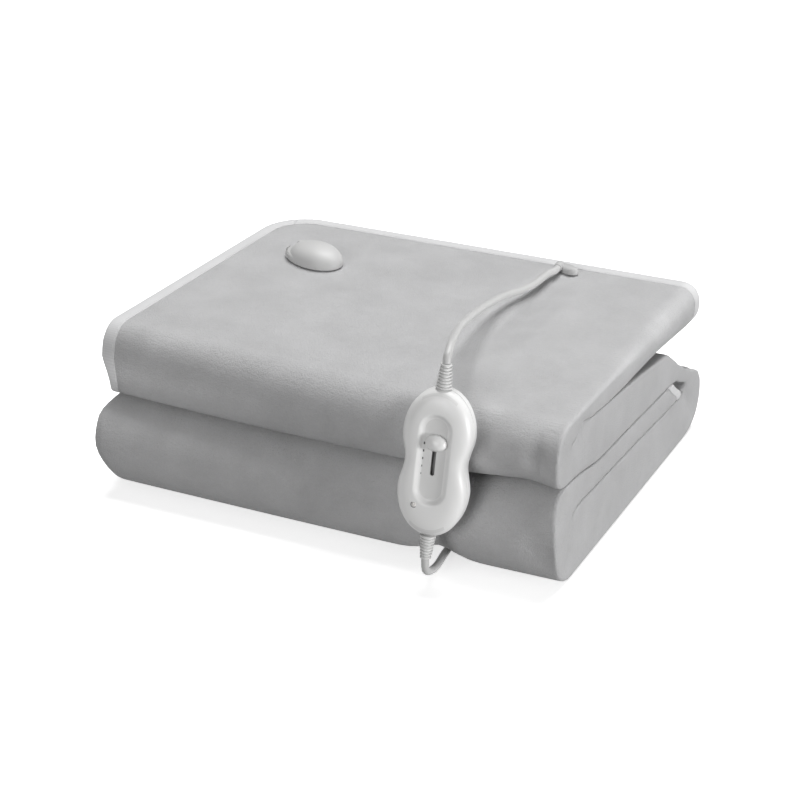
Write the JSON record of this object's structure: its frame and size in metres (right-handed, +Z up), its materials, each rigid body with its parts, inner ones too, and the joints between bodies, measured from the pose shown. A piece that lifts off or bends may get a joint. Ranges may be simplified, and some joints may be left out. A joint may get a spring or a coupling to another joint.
{
  "type": "electric heated blanket",
  "caption": "Folded electric heated blanket with bound edges, a connector housing on top and a corded hand controller hanging at the front.",
  "frame": {"origin": "on the floor under the middle of the folded blanket with its controller, leads and plug left out", "axes": "+Z up, +X along the front of the folded pack, +Y towards its back; the controller hangs at the -Y side"},
  "size_m": [0.4013, 0.4761, 0.1842],
  "materials": {
    "blanket_cloth": "short brushed fleece, matt light grey",
    "binding_tape": "smooth woven tape, a little paler than the cloth",
    "white_plastic": "moulded white plastic, satin",
    "lamp_lens": "small clear-topped lens, unlit",
    "cord_plastic": "white flexible cord sheath",
    "tie_plastic": "thin flat tie",
    "pin_metal": "plated round pins"
  },
  "bodies": {
    "pack": {"blanket": "blanket_cloth", "binding_outer_end": "binding_tape", "binding_inner_end": "binding_tape", "binding_top_edge": "binding_tape", "binding_tucked_edge": "binding_tape", "controller_back": "white_plastic", "controller_front": "white_plastic", "controller_lamp": "lamp_lens", "controller_top_sleeve": "white_plastic", "controller_bottom_sleeve": "white_plastic", "connector_base": "white_plastic", "connector_cover": "white_plastic", "connector_latch": "white_plastic", "lead_gland": "cord_plastic", "control_lead": "cord_plastic", "mains_lead": "cord_plastic", "mains_coil": "cord_plastic", "coil_tie": "tie_plastic", "mains_tail": "cord_plastic", "plug_body": "white_plastic", "plug_pin_left": "pin_metal", "plug_pin_right": "pin_metal"},
    "slider": {"controller_slider": "white_plastic"}
  },
  "joints": [
    {"name": "heat_slider", "type": "slide", "parent": "pack", "child": "slider", "axis": [-0.0301, -0.162, -0.9863], "range_m": [0, 0.02]}
  ]
}
